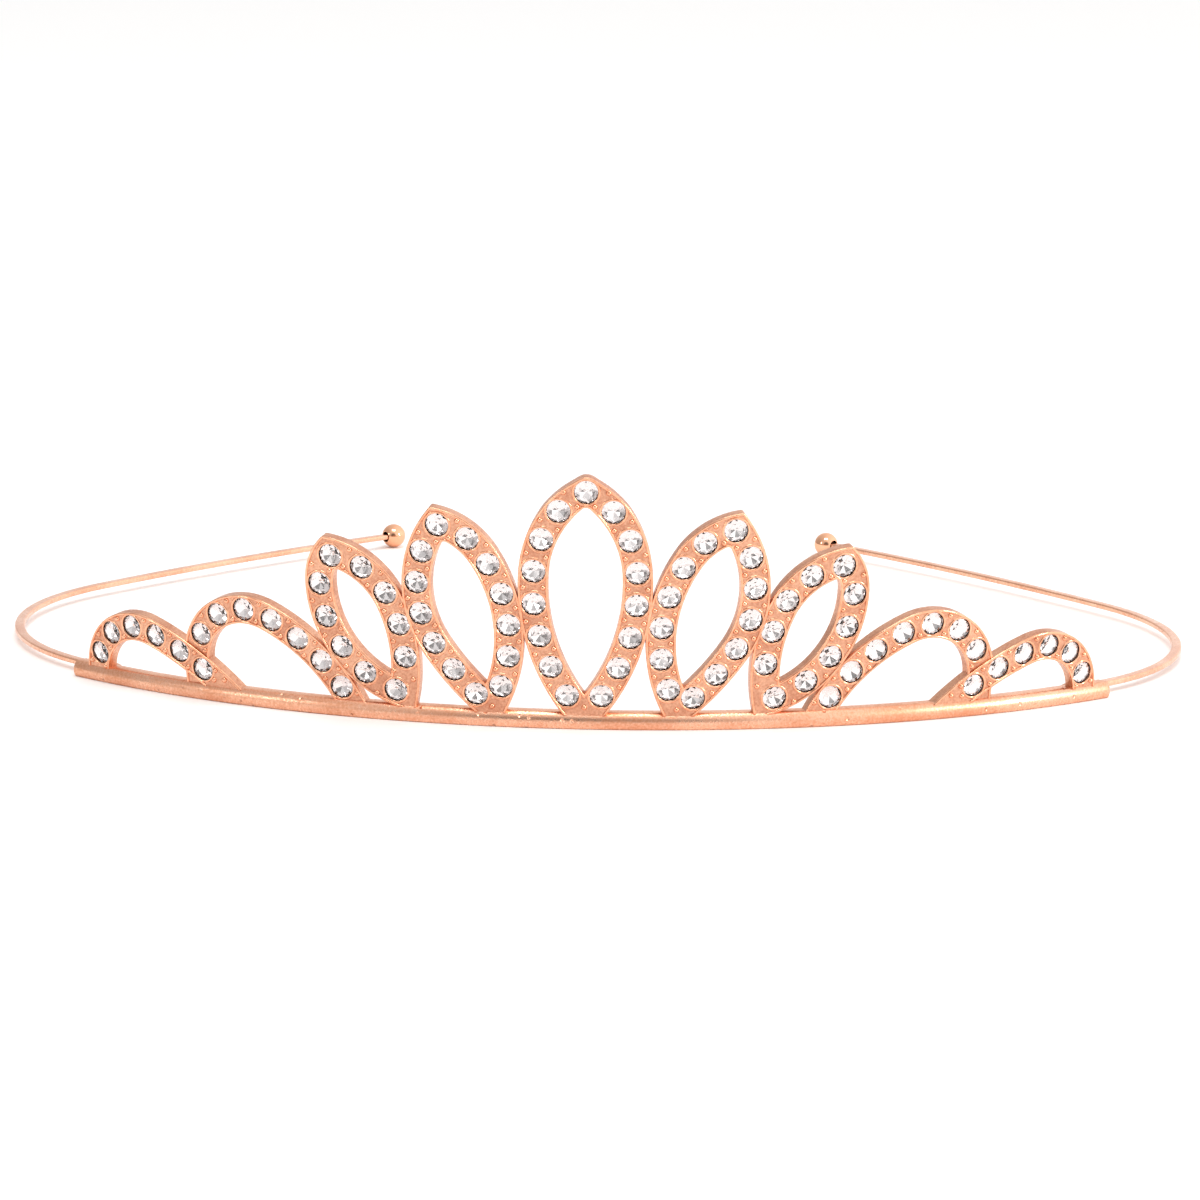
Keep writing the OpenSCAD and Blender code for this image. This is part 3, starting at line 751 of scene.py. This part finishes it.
def cut_stone(point_h):
    """One stone with its girdle's top at Z 0 and foil on everything below."""
    stone = bmesh.new()
    facet_ring(stone, MAINS, TABLE_R, CROWN_H, 0)
    facet_ring(stone, MAINS, star_r, star_up, HALF_MAIN)
    facet_ring(stone, 2 * MAINS, STONE_R, 0, 0)
    facet_ring(stone, 2 * MAINS, STONE_R, -GIRDLE_H, 0)
    lower_up = -GIRDLE_H - point_h * (STONE_R - lower_r * half_main) / STONE_R
    facet_ring(stone, MAINS, lower_r, lower_up, HALF_MAIN)
    stone.verts.new((0, 0, -GIRDLE_H - point_h))
    bmesh.ops.convex_hull(stone, input=stone.verts[:])
    bmesh.ops.dissolve_limit(stone, angle_limit=math.radians(1), verts=stone.verts, edges=stone.edges)
    bmesh.ops.recalc_face_normals(stone, faces=stone.faces)
    for face in stone.faces:
        face.material_index = 1 if face.calc_center_median().z < 0 else 0
    mesh = bpy.data.meshes.new("stone")
    stone.to_mesh(mesh)
    stone.free()
    return mesh


petal_stone, bow_stone = cut_stone(POINT_H), cut_stone(BOW_POINT_H)
turns = random.Random(TURN_SEED)
for part in PETALS + BOWS:
    for hand in hands(part):
        row = bmesh.new()
        places = [crown_frame(hand * part.angle, (hand * x, up), -part.drop - GIRDLE_DROP)
                  @ Matrix.Rotation(turns.uniform(0, math.tau), 4, "Z") for x, up in stone_spots(part)]
        add_copies(row, bow_stone if isinstance(part, Bow) else petal_stone, places)
        name = part.name if part.angle == 0 else part.name + ("_right" if hand > 0 else "_left")
        stones = finish_piece("cut_stones_" + name, row, [clear_glass, silver_foil],
                              smooth_angle=0)
        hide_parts("stones_" + name)

# Floor, light and camera
# A pale table with soft light from all round. The headband stands on its bar and balls, and the camera
# keeps the photograph's side, distance and lens, just above the table.
FLOOR_R = 4.0               # in metres
FLOOR_DOWN = 0.03 * MM      # below the headband's underside, so that they don't share a plane
floor = bmesh.new()
bmesh.ops.create_circle(floor, cap_ends=True, segments=64, radius=FLOOR_R)
floor_mesh = bpy.data.meshes.new("table")
floor.to_mesh(floor_mesh)
floor.free()
table = bpy.data.objects.new("table", floor_mesh)
table.location = (0, 0, -FLOOR_DOWN)
bpy.context.scene.collection.objects.link(table)

# Matt white card: it lights the headband from below and shows only soft shadows.
card = bpy.data.materials.new("white_card")
card.use_nodes = True
paper = card.node_tree.nodes["Principled BSDF"]
paper.inputs["Base Color"].default_value = linear("#fcfbfa")
paper.inputs["Roughness"].default_value = 0.7
floor_mesh.materials.append(card)

# White walls all round, brighter on the right, with a darker place where the camera stands, which the metal
# and the stones mirror.
ROOM_LIGHT = 1.03
DARK_PLACE = 0.22
DARK_WAY = (0.0, -0.98, 0.2)
DARK_EDGE = 0.86            # cosines of the angles where it begins and where it is darkest
DARK_CORE = 0.985
LEFT_WALL = 0.5
RIGHT_WALL = 1.5
world = bpy.data.worlds.new("soft_room")
bpy.context.scene.world = world
world.use_nodes = True
room = world.node_tree
room_light = room.nodes["Background"]
room_light.inputs["Color"].default_value = linear("#ffffff")
toward = add_node(room, "ShaderNodeTexCoord", {}).outputs["Generated"]
facing = add_node(room, "ShaderNodeVectorMath", {0: toward, 1: DARK_WAY}, operation="DOT_PRODUCT")
walls = add_node(room, "ShaderNodeMapRange",
                 {"Value": facing.outputs["Value"], "From Min": DARK_EDGE, "From Max": DARK_CORE,
                  "To Min": ROOM_LIGHT, "To Max": DARK_PLACE}, interpolation_type="SMOOTHSTEP")
sideways = add_node(room, "ShaderNodeSeparateXYZ", {"Vector": toward})
side_walls = add_node(room, "ShaderNodeMapRange",
                      {"Value": sideways.outputs["X"], "From Min": -1.0, "From Max": 1.0,
                       "To Min": LEFT_WALL, "To Max": RIGHT_WALL})
strength = add_node(room, "ShaderNodeMath", {0: walls.outputs["Result"], 1: side_walls.outputs["Result"]},
                    operation="MULTIPLY")
room.links.new(strength.outputs[0], room_light.inputs["Strength"])


def soft_box(name, place, aim, width, height, power):
    data = bpy.data.lights.new(name, "AREA")
    data.shape = "RECTANGLE"
    data.size, data.size_y, data.energy = width, height, power
    lamp = bpy.data.objects.new(name, data)
    lamp.location = place
    lamp.rotation_mode = "QUATERNION"
    lamp.rotation_quaternion = (Vector(aim) - Vector(place)).to_track_quat("-Z", "Y")
    bpy.context.scene.collection.objects.link(lamp)


CROWN_MIDDLE = (0, -0.03, 0.01)
soft_box("top_light", place=(0.0, -0.35, 0.9), aim=CROWN_MIDDLE, width=0.5, height=0.3, power=3)
soft_box("left_light", place=(-0.8, -0.6, 0.35), aim=CROWN_MIDDLE, width=0.15, height=0.3, power=0.8)
soft_box("right_light", place=(0.9, -0.4, 0.3), aim=CROWN_MIDDLE, width=0.15, height=0.3, power=2.8)

AIM = Vector((1.5, -47.2, 14.0)) * MM
DISTANCE = 0.399            # in metres
LENS_PX = 3780.0            # the photograph's focal length, for a picture 1200 pixels wide
PICTURE_PX = 1200
YAW = math.radians(-1.47)
ROLL = math.radians(0.89)
LOOK_DOWN = math.radians(11.3)
look = Vector((math.sin(YAW) * math.cos(LOOK_DOWN), math.cos(YAW) * math.cos(LOOK_DOWN),
               -math.sin(LOOK_DOWN)))
camera_data = bpy.data.cameras.new("camera")
camera_data.sensor_width = 36
camera_data.lens = LENS_PX / PICTURE_PX * camera_data.sensor_width
camera_data.clip_start = 0.01
camera = bpy.data.objects.new("camera", camera_data)
camera.location = AIM - look * DISTANCE
camera.rotation_mode = "QUATERNION"
camera.rotation_quaternion = look.to_track_quat("-Z", "Y") @ Matrix.Rotation(ROLL, 4, "Z").to_quaternion()
bpy.context.scene.collection.objects.link(camera)
bpy.context.scene.camera = camera
bpy.context.scene.view_settings.view_transform = "Standard"
